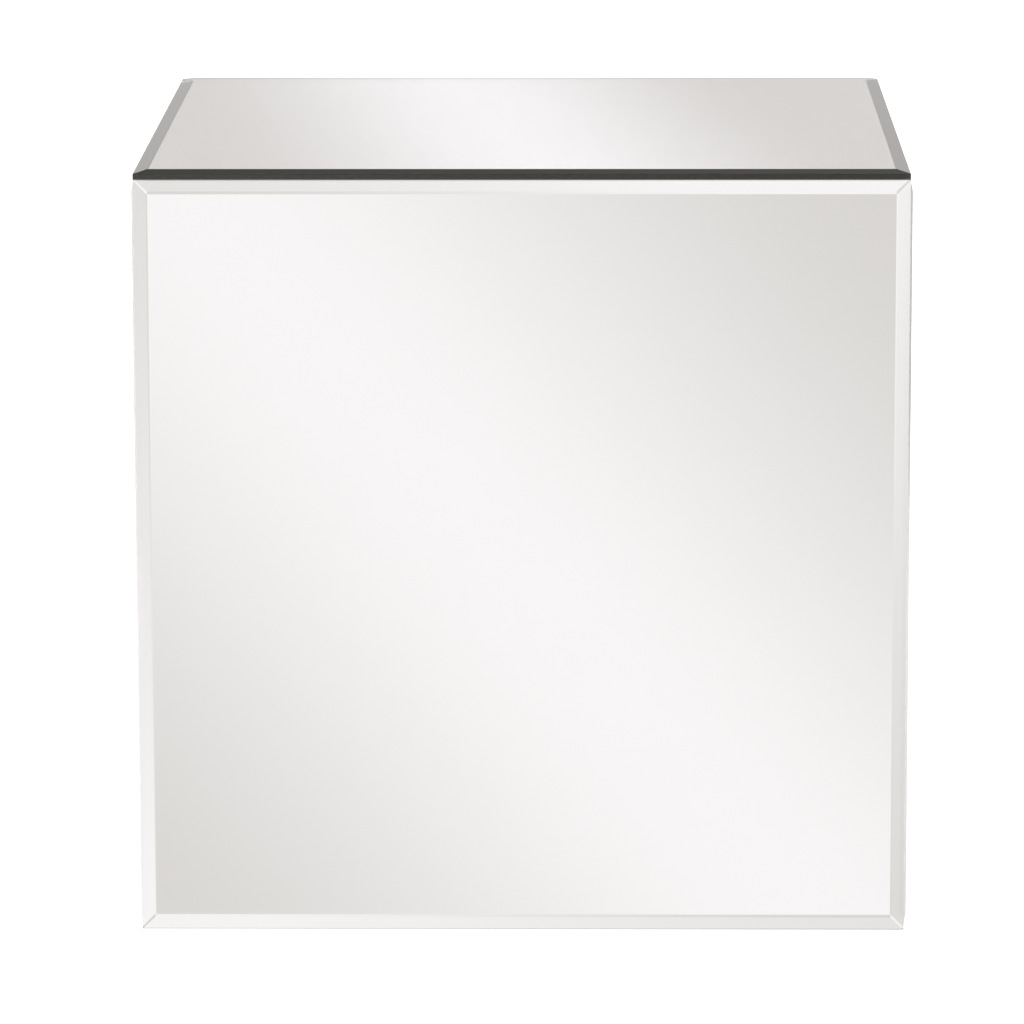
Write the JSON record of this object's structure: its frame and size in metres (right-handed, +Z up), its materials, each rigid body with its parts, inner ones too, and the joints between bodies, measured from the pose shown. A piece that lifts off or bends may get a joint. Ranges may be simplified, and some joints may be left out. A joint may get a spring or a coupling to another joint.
{
  "type": "mirrored display cube",
  "caption": "Closed display cube clad in bevelled mirror panes over a hidden board carcass on low pads, used as a plinth or riser.",
  "frame": {"origin": "centre of the footprint, on the floor under the pads", "axes": "+Z up; the front looks along -Y; +X is to the right of a viewer facing the front"},
  "size_m": [0.457, 0.457, 0.457],
  "materials": {
    "mirror_glass": "clear float glass, polished bevel and edge",
    "silvering": "bright silver under the glass, painted behind",
    "foam_tape": "white closed-cell foam",
    "fibreboard": "raw medium-density fibreboard",
    "base_paint": "black painted fibreboard",
    "softwood": "planed softwood",
    "beech": "plain beech dowel",
    "screw_zinc": "bright zinc plate",
    "pad_rubber": "matte grey"
  },
  "bodies": {
    "root": {"top_glass": "mirror_glass", "top_silvering": "silvering", "top_tape": "foam_tape", "top_board": "fibreboard", "front_glass": "mirror_glass", "front_silvering": "silvering", "front_tape": "foam_tape", "front_board": "fibreboard", "back_glass": "mirror_glass", "back_silvering": "silvering", "back_tape": "foam_tape", "back_board": "fibreboard", "left_glass": "mirror_glass", "left_silvering": "silvering", "left_tape": "foam_tape", "left_board": "fibreboard", "right_glass": "mirror_glass", "right_silvering": "silvering", "right_tape": "foam_tape", "right_board": "fibreboard", "base_board": "base_paint", "front_left_batten": "softwood", "front_left_pad": "pad_rubber", "front_right_batten": "softwood", "front_right_pad": "pad_rubber", "back_left_batten": "softwood", "back_left_pad": "pad_rubber", "back_right_batten": "softwood", "back_right_pad": "pad_rubber", "carcass_dowels": "beech", "base_screws": "screw_zinc"}
  },
  "joints": []
}
